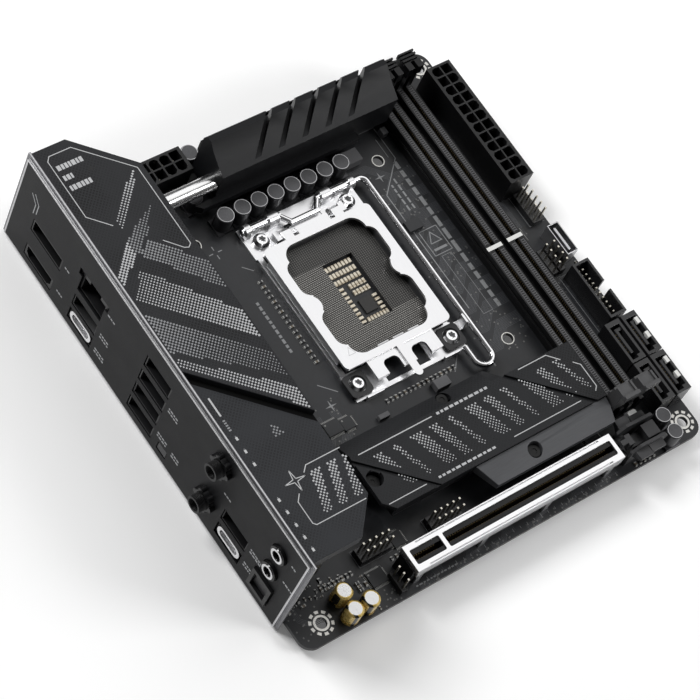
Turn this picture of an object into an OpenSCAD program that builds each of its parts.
/* [Board] */
// Length of the board from the rear edge to the front edge
board_x = 170.18; // [165:0.01:215]
// Width of the board from the slot edge to the top edge
board_y = 170.18; // [170:0.01:215]
// Thickness of the board
board_t = 1.6; // [1.2:0.1:2.4]
// Diameter of the four case mounting holes
mount_hole_d = 3.96; // [3.2:0.01:4.4]

/* [Processor socket] */
// Distance between neighbouring cooler holes
cooler_pitch = 78; // [76:0.1:80]
// Size of the processor package along X
package_x = 37.5; // [34:0.1:38.5]
// Size of the processor package along Y
package_y = 45; // [40:0.1:46]
// Diameter of the load lever wire
wire_d = 2.2; // [1.8:0.1:2.6]

/* [Rear panel] */
// Width of the raised rear panel
panel_w = 158; // [150:0.5:158.4]
// Height of the raised rear panel
panel_h = 42.8; // [40:0.1:44]
// Height of the shroud top above the board underside
shroud_z = 42; // [40:0.5:52]
// Length that the antenna barrels stand out of the panel
antenna_out = 5.1; // [4:0.1:8]

/* [Heatsinks] */
// Height of the top edge heatsink above the board underside
sink_z = 28.2; // [24:0.1:36]
// Height of the drive cover above the board underside
drive_z = 16; // [14:0.1:20]
// Radius of the heat pipe
pipe_r = 3; // [2:0.1:3.2]

/* [Slots and headers] */
// Length of the card slot
card_slot_l = 88; // [70:0.5:92]
// Distance between the two memory slots
memory_pitch = 9; // [7.6:0.1:9.5]
// Pitch of the power connector contacts
power_pitch = 4.2; // [3.6:0.05:4.3]
// Pitch of the pin headers
pin_pitch = 2.54; // [2:0.01:2.6]

/* [Hidden] */
$fn = 48;
eps = 0.01;
fit = 0.2;
rear_x = -10.16;
low_y = -6.35;
front_x = rear_x + board_x;
top_y = low_y + board_y;
bt = board_t;
hole_x = front_x - 5.08;
hole_y = top_y - 6.35;
hole_f = [22.86, hole_y];
cpu = [79.15, 93.41];
top_screw = [18.2, 29.9];
low_screw = [19.95, -29.9];
screw_spots = [[-top_screw[0], top_screw[1]], [top_screw[0], top_screw[1]],
    [-low_screw[0], low_screw[1]], [low_screw[0], low_screw[1]]];
plate_hinge = [cpu[1] + 28, bt + 2.8];
lever_axis = [cpu[1] + 34.9, bt + 3.3];
lever_x = cpu[0] + 28.35;
wire_r = wire_d / 2;
panel_x = -13.2;
panel_y0 = 7.8;
panel_z0 = -1;
panel_y1 = panel_y0 + panel_w;
panel_z1 = panel_z0 + panel_h;
flange_x = panel_x + 0.9;
mem_b_x = front_x - 19.9;
mem_a_x = mem_b_x - memory_pitch;
mem_y0 = top_y - 145.8;
mem_y1 = top_y - 12.4;
mem_top = bt + 7;
latch_axis = [mem_y0 - 3, bt + 3.6];
card_x0 = 32.6;
card_x1 = card_x0 + card_slot_l;
card_y = 1.3;
card_top = bt + 11.4;
card_pivot = [card_x1 + 6.4, bt + 4.6];
atx_w = 12 * power_pitch + 1.2;
atx_y1 = top_y - 12.9;
atx_y0 = atx_y1 - atx_w;
atx_x0 = front_x - 11.5;
eps_w = 4 * power_pitch + 2;
eps_x1 = 49.9;
eps_x0 = eps_x1 - eps_w;
eps_y0 = top_y - 11.1;
power_z = bt + 12.5;
sink_x0 = 52.9;
sink_x1 = 127.2;
sink_y = top_y - 21.5;
pipe_y = sink_y + 3.3;
pipe_z = bt + 12.4;
cap_r = 3.15;
button_c = [73.4, bt + 2.2];
antenna_y = 50.4;
antenna_z = [bt + 9.8, bt + 32.6];
jack_y = 18.1;
jack_z = [bt + 18.6, bt + 29.9];
optic_c = [18.2, bt + 6.6];
shutter_z = optic_c[1] + 2.7;

// A block between two limits on each axis
module blk(x, y, z)
    translate([x[0], y[0], z[0]]) cube([x[1] - x[0], y[1] - y[0], z[1] - z[0]]);

// A rectangle with rounded corners, between limits
module rounded(x, y, r) {
    translate([x[0] + r, y[0]]) square([x[1] - x[0] - 2 * r, y[1] - y[0]]);
    translate([x[0], y[0] + r]) square([x[1] - x[0], y[1] - y[0] - 2 * r]);
    for (a = [x[0] + r, x[1] - r], b = [y[0] + r, y[1] - r]) translate([a, b]) circle(r);
}

// A rod along X, Y or Z from one end point
module rod(p, r, l, dir = "z")
    translate(p) rotate(dir == "x" ? [0, 90, 0] : dir == "y" ? [-90, 0, 0] : [0, 0, 0])
        cylinder(r = r, h = l);

// A slanting length of wire that runs a little past both end points
module strut(a, b, r, past) {
    d = b - a;
    l = norm(d);
    translate(a - d / l * past) rotate([0, acos(d[2] / l), atan2(d[1], d[0])])
        cylinder(r = r, h = l + 2 * past);
}

// A flat bend of wire about a centre point, from one angle through another
module bend(p, r, big, from, by)
    translate(p) rotate(from) rotate_extrude(angle = by) translate([big, 0]) circle(r);

module circuit_board() color("#24262a") difference() {
    linear_extrude(bt) rounded([rear_x, front_x], [low_y, top_y], 5);
    for (p = [[0, 0], [hole_x, 0], [hole_x, hole_y], hole_f])
        rod([p[0], p[1], -1], mount_hole_d / 2, bt + 2);
    for (a = [-1, 1], b = [-1, 1])
        rod([cpu[0] + a * cooler_pitch / 2, cpu[1] + b * cooler_pitch / 2, -1], 2, bt + 2);
    for (p = screw_spots) rod([cpu[0] + p[0], cpu[1] + p[1], -1], 1.65, bt + 2);
}

module socket_body() color("#2c2c2e") difference() {
    hx = package_x / 2 + 1.65;
    hy = package_y / 2 + 1.9;
    blk([cpu[0] - hx, cpu[0] + hx], [cpu[1] - hy, cpu[1] + hy], [bt, bt + 4.2]);
    blk([cpu[0] - package_x / 2 - 0.1, cpu[0] + package_x / 2 + 0.1],
        [cpu[1] - package_y / 2 - 0.1, cpu[1] + package_y / 2 + 0.1], [bt + 1.6, bt + 5]);
    blk([cpu[0] - 5, cpu[0] + 7.6], [cpu[1] - 12.5, cpu[1] + 12.5], [bt - 1, bt + 3]);
    for (s = [-1, 1]) blk([cpu[0] - 4, cpu[0] + 4], [cpu[1] + s * hy - 1.2, cpu[1] + s * hy + 1.2],
        [bt + 2.6, bt + 5]);
}

module socket_contacts() color("#55565a") difference() {
    blk([cpu[0] - package_x / 2 + fit, cpu[0] + package_x / 2 - fit],
        [cpu[1] - package_y / 2 + fit, cpu[1] + package_y / 2 - fit], [bt + 1.6, bt + 1.9]);
    blk([cpu[0] - 5, cpu[0] + 7.6], [cpu[1] - 12.5, cpu[1] + 12.5], [bt, bt + 3]);
}

module socket_capacitors() color("#d9c9a0") {
    for (i = [0 : 7], j = [0 : 2])
        blk([cpu[0] - 4.3 + i * 1.4, cpu[0] - 3.4 + i * 1.4],
            [cpu[1] + 9.9 - j * 2.9, cpu[1] + 11.7 - j * 2.9], [bt, bt + 0.7]);
    for (i = [0 : 4], j = [0 : 1])
        blk([cpu[0] - 0.1 + i * 1.4, cpu[0] + 0.8 + i * 1.4],
            [cpu[1] + 1.2 - j * 2.7, cpu[1] + 3 - j * 2.7], [bt, bt + 0.7]);
    for (j = [0 : 8])
        blk([cpu[0] - 4.3, cpu[0] - 2.5], [cpu[1] + 1.9 - j * 1.7, cpu[1] + 2.8 - j * 1.7], [bt, bt + 0.7]);
    for (i = [0 : 6])
        blk([cpu[0] - 1.6 + i * 1.3, cpu[0] - 0.8 + i * 1.3], [cpu[1] - 12, cpu[1] - 10.4], [bt, bt + 0.7]);
    blk([cpu[0] - 0.6, cpu[0] + 4.4], [cpu[1] - 9, cpu[1] - 3.6], [bt, bt + 0.8]);
    for (j = [0 : 3])
        blk([cpu[0] + 5.2, cpu[0] + 7], [cpu[1] - 4.6 - j * 1.7, cpu[1] - 3.7 - j * 1.7], [bt, bt + 0.7]);
}

module socket_back_plate() color("silver") difference() {
    translate([0, 0, -1.8]) linear_extrude(1.8)
        rounded([cpu[0] - 25.5, cpu[0] + 25.5], [cpu[1] - 34.5, cpu[1] + 34.5], 4);
    blk([cpu[0] - 15, cpu[0] + 15], [cpu[1] - 19, cpu[1] + 19], [-3, 1]);
    for (p = screw_spots) rod([cpu[0] + p[0], cpu[1] + p[1], -3], 1.5, 4);
}

module socket_frame() color("#c9cccf") {
    difference() {
        union() {
            blk([cpu[0] - 23.6, cpu[0] + 23.6], [cpu[1] + 24.7, cpu[1] + 37.2], [bt, bt + 0.8]);
            blk([cpu[0] - 23.4, cpu[0] + 23.4], [cpu[1] - 35.2, cpu[1] - 24.7], [bt, bt + 0.8]);
            for (s = [-1, 1]) blk([cpu[0] + s * 21.9 - 1, cpu[0] + s * 21.9 + 1],
                [cpu[1] - 25, cpu[1] + 25], [bt, bt + 0.8]);
            blk([cpu[0] + 23.4, cpu[0] + 26.9], [cpu[1] - 29, cpu[1] - 25.5], [bt, bt + 0.8]);
            blk([cpu[0] + 26.1, cpu[0] + 26.9], [cpu[1] - 29, cpu[1] - 25.5], [bt, bt + 5.4]);
            for (s = [-1, 1]) blk([cpu[0] + s * 16.5 - 3.5, cpu[0] + s * 16.5 + 3.5],
                [cpu[1] - 36, cpu[1] - 35.2], [bt, bt + 2.6]);
        }
        for (p = screw_spots) rod([cpu[0] + p[0], cpu[1] + p[1], bt - 1], 1.65, 3);
        blk([cpu[0] - 7.6, cpu[0] + 7.6], [cpu[1] + 25.6, cpu[1] + 31.8], [bt - 1, bt + 2]);
        blk([cpu[0] - 9, cpu[0] + 9], [cpu[1] - 33.6, cpu[1] - 24], [bt - 1, bt + 2]);
    }
    for (s = [-1, 1]) {
        blk([cpu[0] + s * 13.6 - 1, cpu[0] + s * 13.6 + 1], [plate_hinge[0] - 1.8, plate_hinge[0] + 1.8],
            [bt + 0.8, plate_hinge[1] + 1.8]);
        rod([cpu[0] + s * 10.6 - 2.1, plate_hinge[0], plate_hinge[1]], 1, 4.2, "x");
    }
    for (x = [-21.6, -10.9, 11.2, 22.3]) difference() {
        w = abs(x) > 20 ? 1.1 : 2;
        union() {
            blk([cpu[0] + x - w, cpu[0] + x + w], [lever_axis[0] - 2.1, lever_axis[0] + 2.1],
                [bt + 0.8, lever_axis[1]]);
            rod([cpu[0] + x - w, lever_axis[0], lever_axis[1]], 2.1, 2 * w, "x");
        }
        rod([cpu[0] + x - w - 1, lever_axis[0], lever_axis[1]], wire_r + 0.06, 2 * w + 2, "x");
    }
}

module socket_corner_pads() color("#161617") for (s = [-1, 1]) difference() {
    translate([0, 0, bt + 0.8]) linear_extrude(1.4)
        rounded([cpu[0] + s * low_screw[0] - 4.3, cpu[0] + s * low_screw[0] + 4.3],
            [cpu[1] + low_screw[1] - 4.4, cpu[1] + low_screw[1] + 4.3], 1.6);
    rod([cpu[0] + s * low_screw[0], cpu[1] + low_screw[1], bt], 3.1, 4);
}

module socket_screws() color("#d8d9da") for (p = screw_spots)
    translate([cpu[0] + p[0], cpu[1] + p[1], 0]) difference() {
        union() {
            rod([0, 0, -1.8], 1.45, bt + 3);
            rod([0, 0, bt + 0.8], 2.9, 1.1);
            translate([0, 0, bt + 1.9]) cylinder(r1 = 2.9, r2 = 1.9, h = 1);
        }
        translate([0, 0, bt + 1.6]) cylinder(r = 1.25, h = 3, $fn = 6);
        for (a = [0, 60, 120]) rotate(a) blk([-1.35, 1.35], [-0.3, 0.3], [bt + 1.6, bt + 4]);
    }

module load_plate() color("#e4e5e6") {
    difference() {
        union() {
            translate([0, 0, bt + 4.4]) linear_extrude(1) difference() {
                rounded([cpu[0] - 22.3, cpu[0] + 22.3], [cpu[1] - 25.3, cpu[1] + 25.1], 2);
                difference() {
                    union() {
                        rounded([cpu[0] - 16.3, cpu[0] + 16.3], [cpu[1] - 22.6, cpu[1] + 22.8], 5);
                        for (s = [-1, 1]) rounded([cpu[0] - 18.9, cpu[0] + 18.9],
                            [cpu[1] + s * 10.4 - 7.2, cpu[1] + s * 10.4 + 7.2], 4);
                    }
                    for (s = [-1, 1]) translate([cpu[0] + s * 19.6, cpu[1]]) circle(4.3);
                }
            }
            for (s = [-1, 1]) blk([cpu[0] + s * 21.8 - 0.5, cpu[0] + s * 21.8 + 0.5],
                [cpu[1] - 21, cpu[1] + 21], [bt + 1.9, bt + 4.5]);
            for (s = [-1, 1]) {
                blk([cpu[0] + s * 10.5 - 1.9, cpu[0] + s * 10.5 + 1.9],
                    [cpu[1] + 24.6, plate_hinge[0] + 0.3], [plate_hinge[1], bt + 5.4]);
                rod([cpu[0] + s * 10.5 - 1.9, plate_hinge[0], plate_hinge[1]], 1.9, 3.8, "x");
            }
            blk([cpu[0] - 6.6, cpu[0] + 6.6], [cpu[1] + 24.6, plate_hinge[0]],
                [plate_hinge[1] - 0.7, bt + 5.4]);
            blk([cpu[0] - 6.6, cpu[0] + 6.6], [plate_hinge[0] - 0.5, plate_hinge[0] + 2.1],
                [plate_hinge[1] - 1.6, plate_hinge[1] - 0.7]);
            blk([cpu[0] - 8.6, cpu[0] + 8.6], [plate_hinge[0] - 1.2, plate_hinge[0]],
                [plate_hinge[1] - 0.6, plate_hinge[1] + 0.6]);
            translate([0, 0, bt + 3.6]) linear_extrude(1) difference() {
                rounded([cpu[0] - 13.9, cpu[0] + 13.9], [cpu[1] - 32.4, cpu[1] - 24.9], 0.3);
                for (s = [-1, 1]) rounded([cpu[0] + s * 5.9 - 3.1, cpu[0] + s * 5.9 + 3.1],
                    [cpu[1] - 34, cpu[1] - 27.4], 2);
            }
            for (s = [-1, 1]) blk([cpu[0] + s * 11.2 - 1.8, cpu[0] + s * 11.2 + 1.8],
                [cpu[1] - 32.4, cpu[1] - 31.4], [bt + 2.6, bt + 4.6]);
            blk([cpu[0] - 1.5, cpu[0] + 1.5], [cpu[1] - 36.4, cpu[1] - 25], [bt + 4.6, bt + 5.4]);
            rod([cpu[0], cpu[1] - 36.4, bt + 4.6], 1.5, 0.8);
        }
        for (s = [-1, 1]) rod([cpu[0] + s * 10.5 - 3, plate_hinge[0], plate_hinge[1]], 1.06, 6, "x");
    }
}

// The lever is one bent wire: a crank under the plate, an arm, and a hook to pull
module socket_lever() color("#d0d2d4") {
    y = lever_axis[0];
    z = lever_axis[1];
    c = cpu[0];
    turn = 2.4;
    hook = 3.6;
    end_y = cpu[1] - 41.2;
    crank_out = 7.5;
    crank_d = 4.1;
    rod([c - 23.6, y, z], wire_r, 23.6 - crank_out, "x");
    for (m = [-1, 1]) strut([c + m * 5.2, y - crank_d, z], [c + m * 8.2, y, z], wire_r - 0.08, 0.4);
    rod([c - 6, y - crank_d, z], wire_r, 12, "x");
    rod([c + crank_out, y, z], wire_r, lever_x - turn - c - crank_out, "x");
    bend([lever_x - turn, y - turn, z], wire_r, turn, 0, 90);
    rod([lever_x, end_y, z], wire_r, y - turn - end_y, "y");
    bend([lever_x - hook, end_y, z], wire_r, hook, 180, 180);
    rod([lever_x - 2 * hook, end_y, z], wire_r, 5.5, "y");
}

// A memory slot with one swinging latch at its low end and a fixed guide at the other
module memory_slot(x) {
    difference() {
        blk([x - 3.3, x + 3.3], [mem_y0, mem_y1], [bt, mem_top]);
        blk([x - 0.75, x + 0.75], [mem_y0 - 1, cpu[1] - 10.9], [bt + 2.6, mem_top + 1]);
        blk([x - 0.75, x + 0.75], [cpu[1] - 9.3, mem_y1 + 1], [bt + 2.6, mem_top + 1]);
        for (s = [-1, 1]) blk([x + s * 3.3 - 0.5, x + s * 3.3 + 0.5], [mem_y0 + 3, mem_y1 - 3],
            [bt + 3.4, bt + 5.2]);
    }
    difference() {
        union() {
            for (s = [-1, 1]) blk([x + s * 2.35 - 0.95, x + s * 2.35 + 0.95], [mem_y0 - 5.8, mem_y0],
                [bt, bt + 7.4]);
            blk([x - 3.3, x + 3.3], [mem_y0 - 5.8, mem_y0], [bt, bt + 0.8]);
        }
        rod([x - 4, latch_axis[0], latch_axis[1]], 0.95, 8, "x");
    }
    difference() {
        union() {
            blk([x - 3.3, x + 3.3], [mem_y1 - 1, mem_y1 + 4.6], [bt, bt + 17]);
            blk([x - 3.3, x + 3.3], [mem_y1 - 2, mem_y1 + 5.3], [bt + 16, bt + 20.8]);
        }
        blk([x - 0.75, x + 0.75], [mem_y1 - 3, mem_y1 + 1], [bt + 2.6, bt + 22]);
        for (i = [0 : 2]) blk([x - 4, x + 4], [mem_y1 + 1.2 + i * 1.4, mem_y1 + 1.8 + i * 1.4],
            [bt + 19.6, bt + 22]);
        blk([x - 4, x + 4], [mem_y1 + 4.9, mem_y1 + 6], [bt + 17.4, bt + 18.4]);
    }
}

module memory_slot_a() color("#1b1b1c") memory_slot(mem_a_x);
module memory_slot_b() color("#1b1b1c") memory_slot(mem_b_x);

module memory_latch(x) {
    y = latch_axis[0];
    z = latch_axis[1];
    rod([x - 3.3, y, z], 0.9, 6.6, "x");
    blk([x - 1.3, x + 1.3], [y - 1.5, y + 1.5], [z - 1.6, z + 6]);
    blk([x - 3, x + 3], [y - 2.2, y + 2], [z + 5.6, z + 15.2]);
    blk([x - 0.7, x + 0.7], [y + 2, y + 3.4], [z + 6.4, z + 8.6]);
    difference() {
        blk([x - 3.2, x + 3.2], [y - 4.2, y + 1], [z + 15.2, z + 17]);
        blk([x - 2.4, x + 2.4], [y - 2.6, y + 2], [z + 16.2, z + 18]);
    }
    blk([x - 3.2, x + 3.2], [y - 4.2, y - 3], [z + 17, z + 17.8]);
}

module memory_latch_a() color("#2f2f31") memory_latch(mem_a_x);
module memory_latch_b() color("#2f2f31") memory_latch(mem_b_x);

module card_slot() color("#121213") difference() {
    union() {
        blk([card_x0 + 0.6, card_x1 - 0.6], [card_y - 3.75, card_y + 3.75], [bt, card_top - 0.6]);
        blk([card_x0 - 0.6, card_x0 + 0.5], [card_y - 3.75, card_y + 3.75], [bt, card_top - 2]);
        blk([card_x0 + 0.4, card_x0 + 0.8], [card_y - 3.75, card_y + 3.75], [bt, bt + 0.8]);
        blk([card_x1 - 0.7, card_x1 + 4.4], [card_y - 3.75, card_y + 3.75], [bt, bt + 0.8]);
        blk([card_x1 + 0.1, card_x1 + 4.4], [card_y - 3.75, card_y + 3.75], [bt, bt + 6]);
    }
    blk([card_x0 + 1.6, card_x0 + 13.2], [card_y - 1, card_y + 1], [bt + 2.6, card_top + 1]);
    blk([card_x0 + 14.9, card_x1 - 1.6], [card_y - 1, card_y + 1], [bt + 2.6, card_top + 1]);
    blk([card_x1 + 1.2, card_x1 + 5], [card_y - 1.2, card_y + 1.2], [bt + 1, card_top + 1]);
}

module card_slot_armor() color("#e8e8ea") {
    foot_gap = (card_slot_l - 6.4) / 3;
    for (s = [-1, 1]) difference() {
        union() {
            blk([card_x0 + 0.6, card_x1 - 0.6], [card_y + s * 4.3 - 0.5, card_y + s * 4.3 + 0.5],
                [bt + 6.4, card_top]);
            for (i = [0 : 3]) blk([card_x0 + 2 + i * foot_gap, card_x0 + 4.4 + i * foot_gap],
                [card_y + s * 4.3 - 0.3, card_y + s * 4.3 + 0.3], [bt, bt + 6.6]);
        }
        blk([card_x0 + 5, card_x1 - 5], [card_y + s * 4.24 - 0.24, card_y + s * 4.24 + 0.24],
            [card_top - 1.2, card_top + 1]);
    }
    for (x = [card_x0, card_x1]) {
        s = x == card_x0 ? 0 : -0.6;
        blk([x + s, x + s + 0.6], [card_y - 4.8, card_y + 4.8], [bt + 0.8 + (s == 0 ? 8.6 : 6), card_top]);
    }
    difference() {
        blk([card_x0 + 0.6, card_x1 - 0.6], [card_y - 3.8, card_y + 3.8], [card_top - 0.6, card_top]);
        translate([0, 0, card_top - 1]) linear_extrude(2)
            rounded([card_x0 + 1.4, card_x0 + 13.3], [card_y - 2.7, card_y + 2.7], 0.6);
        translate([0, 0, card_top - 1]) linear_extrude(2)
            rounded([card_x0 + 14.8, card_x1 - 1.4], [card_y - 2.7, card_y + 2.7], 0.6);
    }
}

// Two wings that steer the card's hook towards the latch
module card_guide() color("#3a3a3c") {
    x = card_x1 + 4.6;
    for (s = [-1, 1]) {
        translate([0, card_y + s * 4.1, 0]) {
            translate([0, 0.55, 0]) rotate([90, 0, 0]) linear_extrude(1.1)
                polygon([[x, bt], [x + 13.6, bt], [x + 16.4, bt + 8], [x + 14.4, bt + 10.4],
                    [x + 3, bt + 11.4], [x, bt + 8.4]]);
            translate([x + 1.2, s > 0 ? 0.55 : -0.55, 0]) mirror([0, s > 0 ? 0 : 1, 0])
                rotate([90, 0, 90]) linear_extrude(5.4)
                    polygon([[0, bt + 5.6], [3.4, bt + 8.6], [3.4, bt + 9.8], [0, bt + 9.4]]);
            translate([x + 7.4, s > 0 ? 0.55 : -0.55, 0]) mirror([0, s > 0 ? 0 : 1, 0])
                rotate([90, 0, 90]) linear_extrude(6)
                    polygon([[0, bt + 5], [2.6, bt + 7.4], [2.6, bt + 8.6], [0, bt + 8.8]]);
        }
        rod([card_pivot[0], card_y + s * 3.55 - (s > 0 ? 1.5 : 0), card_pivot[1]], 0.9, 1.5, "y");
    }
    blk([x, x + 13.4], [card_y - 3.55, card_y + 3.55], [bt, bt + 0.8]);
}

module card_latch() color("#4a4b4d") difference() {
    x = card_pivot[0];
    z = card_pivot[1];
    union() {
        rod([x, card_y - 3.4, z], 1.9, 6.8, "y");
        blk([x, x + 10], [card_y - 2, card_y + 2], [z - 0.9, z + 0.9]);
        blk([x + 7.2, x + 12.6], [card_y - 2.6, card_y + 2.6], [z - 0.9, z + 4.4]);
        blk([x - 1.2, x + 1], [card_y - 2, card_y + 2], [z, z + 5.4]);
        blk([x - 3.6, x - 0.6], [card_y - 0.9, card_y + 0.9], [z + 3.4, z + 5.4]);
    }
    for (s = [-1, 1]) rod([x, card_y + s * 3.5 - (s > 0 ? 1.6 : 0.1), z], 0.96, 1.7, "y");
}

// One contact cavity: square, or with two cut corners
module cell(a, cut) {
    h = a / 2;
    k = cut ? 0.95 : 0.15;
    polygon([[-h, -h], [h, -h], [h, h - k], [h - k, h], [-h + k, h], [-h, h - k]]);
}

// A two-row power connector along X with its latch ramp on the +Y side
module power_shell(n, w, deep) difference() {
    union() {
        blk([0, w], [0, deep], [0, power_z - bt]);
        blk([w / 2 - 4.2, w / 2 + 4.2], [deep - 0.2, deep + 0.9], [5.4, 6.6]);
        translate([w / 2 - 2.4, deep, 0]) rotate([90, 0, 90]) linear_extrude(4.8)
            polygon([[-0.2, 6.4], [0.9, 6.6], [0.9, 8.2], [0, 10.6], [-0.2, 10.6]]);
    }
    for (i = [0 : n - 1], j = [0, 1])
        translate([w / 2 + (i - (n - 1) / 2) * power_pitch, deep / 2 + (j - 0.5) * power_pitch, 2.4])
            linear_extrude(power_z) rotate(j == 0 ? 180 : 0) cell(power_pitch - 0.65, (i + j) % 3 != 1);
}

module power_pins(n, w, deep)
    for (i = [0 : n - 1], j = [0, 1])
        translate([w / 2 + (i - (n - 1) / 2) * power_pitch - 0.5, deep / 2 + (j - 0.5) * power_pitch - 0.5,
            2.4]) cube([1, 1, 6.4]);

module at_main() translate([atx_x0, atx_y1, bt]) rotate(-90) children();
module at_cpu() translate([eps_x0, eps_y0, bt]) children();

module main_power_connector() color("#0f0f10") at_main() power_shell(12, atx_w, 10.2);
module main_power_pins() color("#c8b98a") at_main() power_pins(12, atx_w, 10.2);
module cpu_power_connector() color("#0f0f10") at_cpu() power_shell(4, eps_w, 9.6);
module cpu_power_pins() color("#c8b98a") at_cpu() power_pins(4, eps_w, 9.6);

// Openings of the rear panel: centre Y, centre Z, width, height
usb_row = [for (i = [0 : 3]) [86.4, bt + 3.5 + i * 8.65, 14, 6.2]];
port_display = [147.1, bt + 17.6, 17.4, 6.4];
port_video = [147.4, bt + 3.4, 16, 6.2];
port_net = [122.4, bt + 21.8, 13.2, 7.8];
port_a1 = [122.4, bt + 11.6, 13.4, 6.2];
port_c1 = [122.4, bt + 3.5, 13.4, 6.2];
port_a2 = [36, bt + 13.2, 13.4, 6.2];
port_c2 = [36, bt + 4.2, 13.4, 6.6];
port_button = [button_c[0], button_c[1], 5, 4];
port_optic = [optic_c[0], optic_c[1], 10.4, 10.8];

module window(p, x, w, h) blk(x, [p[0] - w / 2, p[0] + w / 2], [p[1] - h / 2, p[1] + h / 2]);

module rear_panel() color("#3b3d40") difference() {
    blk([panel_x, panel_x + 0.8], [panel_y0, panel_y1], [panel_z0, panel_z1]);
    for (p = concat(usb_row, [port_display, port_video, port_net, port_a1, port_c1, port_a2, port_c2,
        port_button, port_optic]))
        window(p, [panel_x - 1, panel_x + 2], p[2], p[3]);
    blk([panel_x - 1, panel_x + 2], [port_net[0] - 8.3, port_net[0] + 8.3],
        [port_net[1] + 3.8, port_net[1] + 7]);
    for (z = antenna_z) rod([panel_x - 1, antenna_y, z], 3.3, 3, "x");
    for (z = jack_z) rod([panel_x - 1, jack_y, z], 3.7, 3, "x");
}

module rear_panel_rim() color("#b9bcbf") difference() {
    union() {
        blk([panel_x, flange_x + 0.8], [panel_y0 - 0.7, panel_y1 + 0.7], [panel_z0 - 0.7, panel_z1 + 0.7]);
        blk([flange_x, flange_x + 0.8], [panel_y0 - 2.1, panel_y1 + 2.1], [panel_z0 - 1.7, panel_z1 + 1.9]);
    }
    blk([panel_x - 1, flange_x + 2], [panel_y0, panel_y1], [panel_z0, panel_z1]);
}

// The shroud is split by a slanting step
shroud_x = [flange_x + 0.9, 19.7];
step_y = [81.6, 50.2];
upper_y = max(panel_y1 + 2.3, top_y + 4.2);

module shroud_upper() color("#34373a") difference() {
    translate([0, 0, shroud_z - 14]) linear_extrude(14)
        polygon([[shroud_x[0], upper_y], [1.9, upper_y], [shroud_x[1], upper_y - 18.2], [shroud_x[1],
            step_y[1]], [shroud_x[0], step_y[0]]]);
    translate([0, 0, shroud_z - 15]) linear_extrude(9)
        polygon([[shroud_x[0] - 1, step_y[0] - 2], [shroud_x[1] - 1.6, step_y[1] - 1.4],
            [shroud_x[1] - 1.6, step_y[1] + 6], [shroud_x[0] - 1, step_y[0] + 6]]);
    translate([0, 0, shroud_z - 15]) linear_extrude(13.2)
        polygon([[shroud_x[0] - 1, upper_y - 1.6], [1.2, upper_y - 1.6], [shroud_x[1] - 1.6, upper_y - 18.9],
            [shroud_x[1] - 1.6, step_y[1] + 3.9], [shroud_x[0] - 1, step_y[0] + 3.3]]);
}

module shroud_lower() color("#303336") difference() {
    translate([0, 0, shroud_z - 14]) linear_extrude(11.4)
        polygon([[shroud_x[0], step_y[0] - 0.1], [shroud_x[1], step_y[1] - 0.1], [shroud_x[1], 20],
            [9.4, 8.7], [shroud_x[0], 8.7]]);
    translate([0, 0, shroud_z - 15]) linear_extrude(10.6)
        polygon([[shroud_x[0] - 1, step_y[0] + 5], [shroud_x[1] - 1.6, step_y[1] + 5],
            [shroud_x[1] - 1.6, 20.6], [8.8, 10.2], [shroud_x[0] - 1, 10.2]]);
    blk([shroud_x[0] - 1, shroud_x[1] - 8], [0, 20], [shroud_z - 15, shroud_z - 7.2]);
    translate([0, 0, shroud_z - 3.6]) linear_extrude(2)
        polygon([[shroud_x[0] - 1, step_y[0] + 2], [shroud_x[1] + 1, step_y[1] + 2],
            [shroud_x[1] + 1, step_y[1] - 2.6], [shroud_x[0] - 1, step_y[0] - 0.6]]);
}

module display_sockets() color("#2a2b2d") difference() {
    union() {
        blk([panel_x + 1, 6], [port_display[0] - 8.9, port_display[0] + 8.9], [bt, bt + 21.8]);
        window(port_display, [panel_x + 0.2, panel_x + 1], 17, 6);
        window(port_video, [panel_x + 0.2, panel_x + 1], 15.6, 5.8);
    }
    difference() {
        union() {
            window(port_display, [panel_x, panel_x + 9], 16, 4.9);
            translate([panel_x, port_video[0], port_video[1]]) rotate([90, 0, 90]) linear_extrude(9)
                polygon([[-7, 2.3], [7, 2.3], [7, -0.7], [5.4, -2.3], [-5.4, -2.3], [-7, -0.7]]);
        }
        window(port_display, [panel_x + 1.8, panel_x + 12], 11.6, 1.3);
        window(port_video, [panel_x + 1.8, panel_x + 12], 10.4, 1.1);
    }
}

module network_jack() color("#8d8f92") difference() {
    union() {
        blk([panel_x + 1, 9], [port_net[0] - 8.2, port_net[0] + 8.2], [bt, bt + 29.4]);
        window(port_a1, [panel_x + 0.3, panel_x + 1], 13.1, 5.9);
    }
    window(port_net, [panel_x, panel_x + 13], 11.9, 6.8);
    blk([panel_x, panel_x + 13], [port_net[0] - 3, port_net[0] + 3], [port_net[1] + 3, port_net[1] + 5.4]);
    window(port_a1, [panel_x, -0.4], 12.3, 4.9);
    window(port_c1, [panel_x, -2], 12.2, 5.2);
}

module usb_a_stack() color("#9a9c9f") difference() {
    union() {
        blk([panel_x + 1, 5], [usb_row[0][0] - 7.1, usb_row[0][0] + 7.1], [bt, bt + 33.2]);
        for (p = usb_row) window(p, [panel_x + 0.3, panel_x + 1], 13.6, 5.9);
    }
    for (p = usb_row) window(p, [panel_x, -0.4], 12.5, 4.9);
}

module usb_port_pair() color("#9a9c9f") difference() {
    union() {
        blk([panel_x + 1, 5], [port_a2[0] - 7.2, port_a2[0] + 7.2], [bt, bt + 17.6]);
        window(port_a2, [panel_x + 0.3, panel_x + 1], 13.1, 5.9);
    }
    window(port_a2, [panel_x, -0.4], 12.3, 4.9);
    window(port_c2, [panel_x, -2], 12.2, 5.4);
}

module usb_tongues() color("#151517") for (p = concat(usb_row, [port_a1, port_a2]))
    blk([panel_x + 1.6, -0.4], [p[0] - 5.6, p[0] + 5.6], [p[1] + 0.3, p[1] + 2]);

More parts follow.
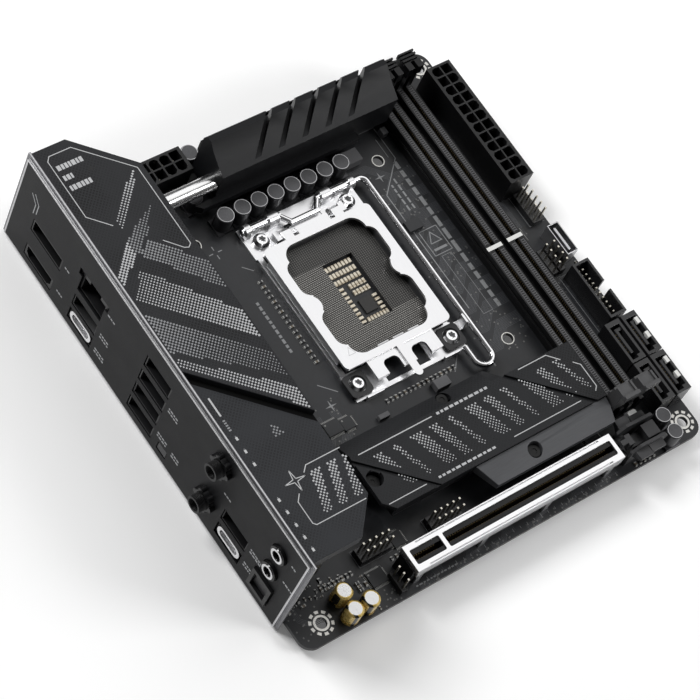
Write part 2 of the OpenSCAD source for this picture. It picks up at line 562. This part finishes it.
// Oval metal mouths with a thin contact blade inside
module usb_c_shells() color("#c4c6c8") for (p = [port_c1, port_c2]) {
    difference() {
        translate([panel_x + 0.2, p[0], p[1]]) rotate([90, 0, 90]) linear_extrude(10)
            rounded([-5.9, 5.9], [-2.4, 2.4], 2.2);
        translate([panel_x, p[0], p[1]]) rotate([90, 0, 90]) linear_extrude(8)
            rounded([-4.6, 4.6], [-1.5, 1.5], 1.4);
    }
    window(p, [panel_x + 2, panel_x + 9], 6.8, 0.7);
}

module rear_button() color("#141415") {
    blk([panel_x + 0.2, panel_x + 3.7], [button_c[0] - 2.2, button_c[0] + 2.2],
        [button_c[1] - 1.6, button_c[1] + 1.6]);
    rod([panel_x + 3.6, button_c[0], button_c[1]], 1, 3.2, "x");
}

module rear_switch() color("#232325") difference() {
    blk([panel_x + 4.8, panel_x + 10.4], [button_c[0] - 3, button_c[0] + 3], [bt, bt + 4.4]);
    rod([panel_x + 4, button_c[0], button_c[1]], 1.06, 4.2, "x");
}

module antenna_barrels() color("#2b2b2d") for (z = antenna_z) difference() {
    union() {
        rod([panel_x - antenna_out, antenna_y, z], 3.1, antenna_out - 2.1, "x");
        rod([panel_x - 2.2, antenna_y, z], 2.75, 4.4, "x");
        rod([panel_x + 0.9, antenna_y, z], 4.2, 0.8, "x");
    }
    rod([panel_x - antenna_out - 1, antenna_y, z], 2.3, 4.5, "x");
    rod([panel_x - antenna_out - 1, antenna_y, z], 0.6, 7, "x");
}

module antenna_nuts() color("#0d0d0e") for (z = antenna_z) difference() {
    translate([panel_x - 1.9, antenna_y, z]) rotate([90, 0, 90]) linear_extrude(1.9) {
        circle(3.9);
        for (a = [0 : 60 : 300]) rotate(a) translate([3.7, 0]) circle(1.15);
    }
    rod([panel_x - 3, antenna_y, z], 3.2, 4, "x");
}

module wireless_module() color("#86898c") {
    blk([panel_x + 2.2, panel_x + 4], [antenna_y - 6.4, antenna_y + 6.4], [bt, bt + 35.4]);
    blk([panel_x + 4, panel_x + 6], [antenna_y - 5.6, antenna_y + 5.6], [bt + 9, bt + 32]);
}

module audio_jacks() color("#18181a") difference() {
    union() {
        blk([panel_x + 1, 2], [jack_y - 6.4, jack_y + 6.2], [bt + 12.4, bt + 34.6]);
        for (z = jack_z) rod([panel_x - 1.1, jack_y, z], 3.4, 3, "x");
    }
    for (z = jack_z) rod([panel_x - 2, jack_y, z], 1.8, 15.2, "x");
}

module audio_rings() color("#d5d7d9") for (z = jack_z) difference() {
    rod([panel_x - 1.4, jack_y, z], 2.7, 0.3, "x");
    rod([panel_x - 2, jack_y, z], 1.9, 2, "x");
}

module optical_port() color("#17171a") difference() {
    union() {
        blk([panel_x + 1, -1], [optic_c[0] - 5.3, optic_c[0] + 5.3], [bt, bt + 12.2]);
        window(optic_c, [panel_x - 1, panel_x + 1], 9.8, 10.2);
    }
    window(optic_c, [panel_x - 2, panel_x + 9], 7, 6.9);
    rod([panel_x + 0.6, optic_c[0] - 4.3, shutter_z], 0.56, 8.6, "y");
}

module optical_shutter() color("#222226") {
    rod([panel_x + 0.6, optic_c[0] - 4.2, shutter_z], 0.5, 8.4, "y");
    window([optic_c[0], (shutter_z + optic_c[1] - 3.1) / 2], [panel_x + 0.3, panel_x + 0.9],
        6.6, shutter_z - optic_c[1] + 3.1);
}

// The face of the top edge heatsink is cut by slanting slots
module vrm_heatsink() color("#1d1e20") {
    y = sink_y;
    low = bt + 5.4;
    face = sink_z - 7.6;
    difference() {
        union() {
            translate([sink_x0, 0, 0]) rotate([90, 0, 90]) linear_extrude(sink_x1 - sink_x0)
                polygon([[y - 2.7, low], [y - 2.7, low + 3], [y, low + 3], [y, face],
                    [y + 3.6, face + 2.2], [y + 7.4, face + 4.7],
                    [y + 10.4, sink_z], [y + 12.6, sink_z], [y + 13.8, sink_z - 2.4], [y + 13.8, low]]);
            blk([sink_x0 - 8.8, sink_x0], [y - 2.7, y - 0.4], [low, low + 3]);
            blk([sink_x0 + 6.4, sink_x1 - 2], [y + 13.8, y + 19.4], [low, low + 5]);
        }
        for (i = [0 : 4]) translate([sink_x0 + 14 + i * 9.85, y, face + 0.8]) rotate(48)
            blk([-6, 26], [-0.95, 0.95], [0, 40]);
        rod([sink_x0 - 1, pipe_y, pipe_z], pipe_r + 0.05, sink_x1 - sink_x0 - 5, "x");
        translate([sink_x0 - 8.8, y - 2.7, low - 1]) rotate(45) blk([-1.6, 1.6], [-1.6, 1.6], [0, 8]);
        blk([sink_x1 - 15, sink_x1 + 1], [y - 4, y], [low - 1, low + 4]);
        for (j = [0 : 2]) blk([sink_x0 + 8, sink_x1 - 4], [y + 14.9 + j * 1.6, y + 15.7 + j * 1.6],
            [low + 2, low + 6]);
    }
}

module heat_pipe() color("#d9dadb") {
    rod([16, pipe_y, pipe_z], pipe_r, sink_x1 - 24, "x");
    translate([16, pipe_y, pipe_z]) sphere(pipe_r);
}

module rear_heatsink() color("#2a2b2e") difference() {
    x = [12, 30];
    blk(x, [72, pipe_y + 5], [bt + 5.4, bt + 20]);
    for (i = [0 : 11]) blk([x[0] - 1, x[1] + 1], [75 + i * 5.2, 77.6 + i * 5.2], [bt + 10.4, bt + 21]);
    rod([10, pipe_y, pipe_z], pipe_r + 0.05, 30, "x");
}

module thermal_pads() color("#8f99a3") {
    blk([sink_x0 + 3, sink_x1 - 3], [sink_y + 1.2, sink_y + 9.2], [bt + 4.4, bt + 5.4]);
    blk([14, 28], [74, 144], [bt + 4.4, bt + 5.4]);
}

module power_chokes() color("#47484a") {
    for (i = [0 : 8]) blk([sink_x0 + 4 + i * 7.6, sink_x0 + 10.8 + i * 7.6], [sink_y + 1.8, sink_y + 8.6],
        [bt, bt + 4.4]);
    for (i = [0 : 8]) blk([sink_x0 + 4.6 + i * 7.6, sink_x0 + 10 + i * 7.6], [sink_y + 11, sink_y + 16],
        [bt, bt + 1]);
    for (i = [0 : 7]) blk([15, 21.8], [76 + i * 8, 82.8 + i * 8], [bt, bt + 4.4]);
    blk([104.9, 111.3], [134, 139.2], [bt, bt + 4]);
    blk([cpu[0] + 3.4, cpu[0] + 9.2], [cpu[1] - 44.6, cpu[1] - 41], [bt, bt + 3]);
    blk([cpu[0] - 20.6, cpu[0] - 16.4], [cpu[1] - 44.4, cpu[1] - 42.6], [bt, bt + 2]);
    blk([124.4, 126.8], [139.2, 142], [bt, bt + 3]);
    blk([mem_b_x - 4.6, mem_b_x + 0.2], [8.6, 11.6], [bt, bt + 3]);
}

// A can capacitor on its square plastic foot
module can(x, y, r, h) {
    blk([x - r - 0.15, x + r + 0.15], [y - r - 0.15, y + r + 0.15], [bt, bt + 0.9]);
    rod([x, y, bt + 0.9], r, h - 1.3);
    translate([x, y, bt + h - 0.4]) cylinder(r1 = r, r2 = r - 0.4, h = 0.4);
}

module vrm_capacitors() color("#5b5c5f") {
    for (i = [0 : 7]) can(52.4 + i * 6.94, sink_y - 7.4, cap_r, 7.6);
    can(54, top_y - 3.7, cap_r, 9);
    can(47.2, sink_y + 3.2, 2.9, 6.4);
    can(front_x - 14.7, 3.6, 2.95, 7.6);
    can(front_x - 14.7, -3.2, 2.95, 7.6);
}

module audio_capacitors() color("#c9a53a") for (p = [[9.6, 4], [9.2, -2.8], [16, -2.4]]) {
    rod([p[0], p[1], bt], 3.1, 1.1);
    rod([p[0], p[1], bt + 1.1], 2.75, 0.5);
    rod([p[0], p[1], bt + 1.6], 3.1, 4.9);
    translate([p[0], p[1], bt + 6.5]) cylinder(r1 = 3.1, r2 = 2.5, h = 0.5);
}

// The drive cover: a wide plate with two slanting grooves over a finned base
drive_x = [34.2, 127.1];
drive_y = [17.2, 39.7];
drive_holes = [[76.2, 42.8, 2.5], [37.4, 29.3, 3], [93.3, 13, 2.7]];

module drive_cover() color("#34363a") difference() {
    union() {
        translate([0, 0, drive_z - 2]) linear_extrude(2)
            polygon([[drive_x[0], drive_y[1]], [drive_x[0], 21], [drive_x[0] + 3.6, drive_y[0]],
                [drive_x[1], drive_y[0]], [drive_x[1], drive_y[1]]]);
        translate([drive_x[0], 0, 0]) rotate([90, 0, 90]) linear_extrude(59.6)
            polygon([[drive_y[1], drive_z - 2], [drive_y[1], drive_z], [drive_y[1] + 5.6, drive_z - 3.2],
                [drive_y[1] + 5.6, drive_z - 5], [drive_y[1] + 2, drive_z - 5],
                    [drive_y[1] + 2, drive_z - 2]]);
        translate([drive_x[0] + 59.6, drive_y[1], 0]) linear_extrude(drive_z - 3.6)
            polygon([[0, 0], [7.4, 0], [1.8, 5.6], [0, 5.6]]);
    }
    for (x = [drive_x[0] + 9, drive_x[0] + 76]) translate([x, (drive_y[0] + drive_y[1]) / 2,
        drive_z - 1.1]) rotate(-43.5)
        blk([-20, 20], [-0.75, 0.75], [0, 3]);
    blk([drive_x[0] + 59, drive_x[0] + 80], [drive_y[1] - 0.01, drive_y[1] + 8], [-1, drive_z - 6.4]);
    for (h = drive_holes) {
        rod([h[0], h[1], drive_z - 4.4], h[2], 9);
        rod([h[0], h[1], 0], 1.7, 30);
    }
}

module drive_base() color("#232427") difference() {
    blk([drive_x[0] + 4, drive_x[1] - 1], [drive_y[0] + 0.6, drive_y[1]], [bt + 7.6, drive_z - 2]);
    for (i = [0 : 5]) blk([drive_x[0] + 3, drive_x[1]],
        [drive_y[0] + 2.2 + i * 3.4, drive_y[0] + 3.6 + i * 3.4], [bt + 8.6, drive_z - 3]);
    for (h = drive_holes) rod([h[0], h[1], 0], 3.4, 30);
}

module drive_skirt() color("#56595d") difference() {
    x = [70, min(drive_x[1], card_x1 + 6.5)];
    y = drive_y[0];
    intersection() {
        translate([x[0], 0, 0]) rotate([90, 0, 90]) linear_extrude(x[1] - x[0])
            polygon([[y, drive_z - 4.6], [y, drive_z - 1], [y - 1, drive_z - 1], [y - 8.6, drive_z - 3],
                [y - 8.6, drive_z - 5.6]]);
        linear_extrude(60) polygon([[x[0], y + 1], [x[1] + 1, y + 1], [x[1] - 1.6, y - 10],
            [x[0] + 5.4, y - 10]]);
    }
    rod([drive_holes[2][0], drive_holes[2][1], drive_z - 4.4], 2.7, 9);
    rod([drive_holes[2][0], drive_holes[2][1], 0], 1.7, 30);
}

module drive_screws() color("#101011") for (h = drive_holes) {
    rod([h[0], h[1], bt], 1.5, drive_z - bt - 3.4);
    rod([h[0], h[1], drive_z - 4.4], h[2] - 0.4, 1.2);
}

module drive_board() color("#17181a") {
    difference() {
        blk([drive_x[0] + 6, drive_x[1] - 6], [drive_y[0] + 1, drive_y[1] - 1], [bt + 4.6, bt + 5.4]);
        for (h = drive_holes) rod([h[0], h[1], 0], 2.4, 30);
    }
    blk([drive_x[1] - 14, drive_x[1] - 5], [drive_y[0] + 1.2, drive_y[1] - 0.8], [bt, bt + 4.6]);
    blk([drive_x[0] + 16, drive_x[0] + 60], [drive_y[0] + 3, drive_y[1] - 2], [bt + 5.4, bt + 7.6]);
    blk([drive_x[0] + 20, drive_x[0] + 42], [drive_y[0] + 2, drive_y[1] - 2], [bt, bt + 2.2]);
}

module sata_ports() color("#0e0e0f") for (c = [0, 1], r = [0, 1]) {
    x = front_x - 13.4 + c * 7.3;
    y = 6.9 + r * 16.9;
    difference() {
        blk([x, x + 6.3], [y, y + 16.5], [bt, bt + 9.2]);
        difference() {
            union() {
                blk([x + 1.1, x + 5.2], [y + 2.2, y + 14.6], [bt + 1.6, bt + 10]);
                blk([x + 1.1, x + 3.6], [y + 1, y + 3], [bt + 1.6, bt + 10]);
            }
            blk([x + 2.5, x + 3.7], [y + 3.6, y + 13.6], [bt, bt + 8.4]);
            blk([x + 2.5, x + 5.2], [y + 12.4, y + 13.6], [bt, bt + 8.4]);
        }
    }
}

module usb3_header() color("#0e0e0f") {
    x = front_x - 9.2;
    difference() {
        blk([x, x + 7.2], [41.4, 64.4], [bt, bt + 9]);
        blk([x + 1, x + 6.2], [42.4, 63.4], [bt + 1.8, bt + 10]);
        blk([x + 5, x + 8], [50.8, 54.4], [bt + 1.8, bt + 10]);
    }
}

module front_usb_c_header() color("#b7babd") {
    x = front_x - 6.6;
    difference() {
        blk([x, x + 4.8], [69, 81.6], [bt, bt + 7.2]);
        blk([x + 0.4, x + 4.4], [69.4, 81.2], [bt + 1.4, bt + 8]);
    }
    blk([x + 1.9, x + 2.9], [70.6, 80], [bt + 1.4, bt + 6.6]);
}

// Plastic strips of the pin headers: corner, pins along X, pins along Y
strips = [[front_x - 7, 86.2, 2, 5], [front_x - 13.2, 66.4, 1, 4], [front_x - 9.9, 66.4, 1, 4],
    [50.4, 8, 5, 2], [22.6, 10, 5, 2], [28.4, -4.6, 1, 3]];

module pin_headers() color("#101011") for (h = strips)
    blk([h[0], h[0] + h[2] * pin_pitch], [h[1], h[1] + h[3] * pin_pitch], [bt, bt + 2.5]);

module header_pins() color("#c9cacb") {
    for (h = strips, i = [0 : h[2] - 1], j = [0 : h[3] - 1])
        blk([h[0] + (i + 0.5) * pin_pitch - 0.32, h[0] + (i + 0.5) * pin_pitch + 0.32],
            [h[1] + (j + 0.5) * pin_pitch - 0.32, h[1] + (j + 0.5) * pin_pitch + 0.32], [bt + 2.5, bt + 8.5]);
    for (i = [0, 1], j = [0 : 9]) if (i + j > 0)
        blk([front_x - 6.9 + i * 2 - 0.25, front_x - 6.4 + i * 2], [43.8 + j * 2, 44.3 + j * 2],
            [bt + 1.8, bt + 6.4]);
}

module ic_packages() color("#3c3e42") {
    blk([21.8, 28], [1.4, 6.6], [bt, bt + 1]);
    blk([36.4, 41], [9.4, 14.4], [bt, bt + 0.9]);
    blk([cpu[0] - 33, cpu[0] - 28.6], [cpu[1] - 42, cpu[1] - 37.6], [bt, bt + 0.9]);
    blk([110.6, 116.6], [103.2, 107.4], [bt, bt + 1.8]);
    blk([145.6, 147.8], [82, 88], [bt, bt + 1]);
    blk([118, 124], [8.6, 14], [bt, bt + 1]);
    blk([40, 46], [52, 57], [bt, bt + 1]);
}

// Small chip parts in rows around the socket and the card slot
module surface_parts() color("#8c8266") {
    for (j = [0 : 16]) blk([cpu[0] - 27.6, cpu[0] - 26], [cpu[1] + 17 - j * 2.1, cpu[1] + 17.8 - j * 2.1],
        [bt, bt + 0.6]);
    for (i = [0 : 15]) blk([cpu[0] - 14 + i * 1.9, cpu[0] - 13.2 + i * 1.9], [cpu[1] - 40, cpu[1] - 38.6],
        [bt, bt + 0.6]);
    for (i = [0 : 9]) blk([33 + i * 2, 33.8 + i * 2], [6.5, 7.7], [bt, bt + 0.5]);
    for (i = [0 : 2]) blk([17.2, 18.6], [2.4 + i * 1.3, 3.3 + i * 1.3], [bt, bt + 1]);
    for (i = [0 : 7]) blk([6 + i * 1.7, 6.8 + i * 1.7], [8.6, 10], [bt, bt + 0.5]);
    for (i = [0 : 4]) blk([129 + i * 2, 129.8 + i * 2], [-5.6, -4.2], [bt, bt + 0.6]);
}

circuit_board();
socket_body();
socket_contacts();
socket_capacitors();
socket_back_plate();
socket_frame();
socket_corner_pads();
socket_screws();
load_plate();
socket_lever();
memory_slot_a();
memory_slot_b();
memory_latch_a();
memory_latch_b();
card_slot();
card_slot_armor();
card_guide();
card_latch();
main_power_connector();
main_power_pins();
cpu_power_connector();
cpu_power_pins();
rear_panel();
rear_panel_rim();
shroud_upper();
shroud_lower();
display_sockets();
network_jack();
usb_a_stack();
usb_port_pair();
usb_tongues();
usb_c_shells();
rear_button();
rear_switch();
antenna_barrels();
antenna_nuts();
wireless_module();
audio_jacks();
audio_rings();
optical_port();
optical_shutter();
vrm_heatsink();
heat_pipe();
rear_heatsink();
thermal_pads();
power_chokes();
vrm_capacitors();
audio_capacitors();
drive_cover();
drive_base();
drive_skirt();
drive_screws();
drive_board();
sata_ports();
usb3_header();
front_usb_c_header();
pin_headers();
header_pins();
ic_packages();
surface_parts();
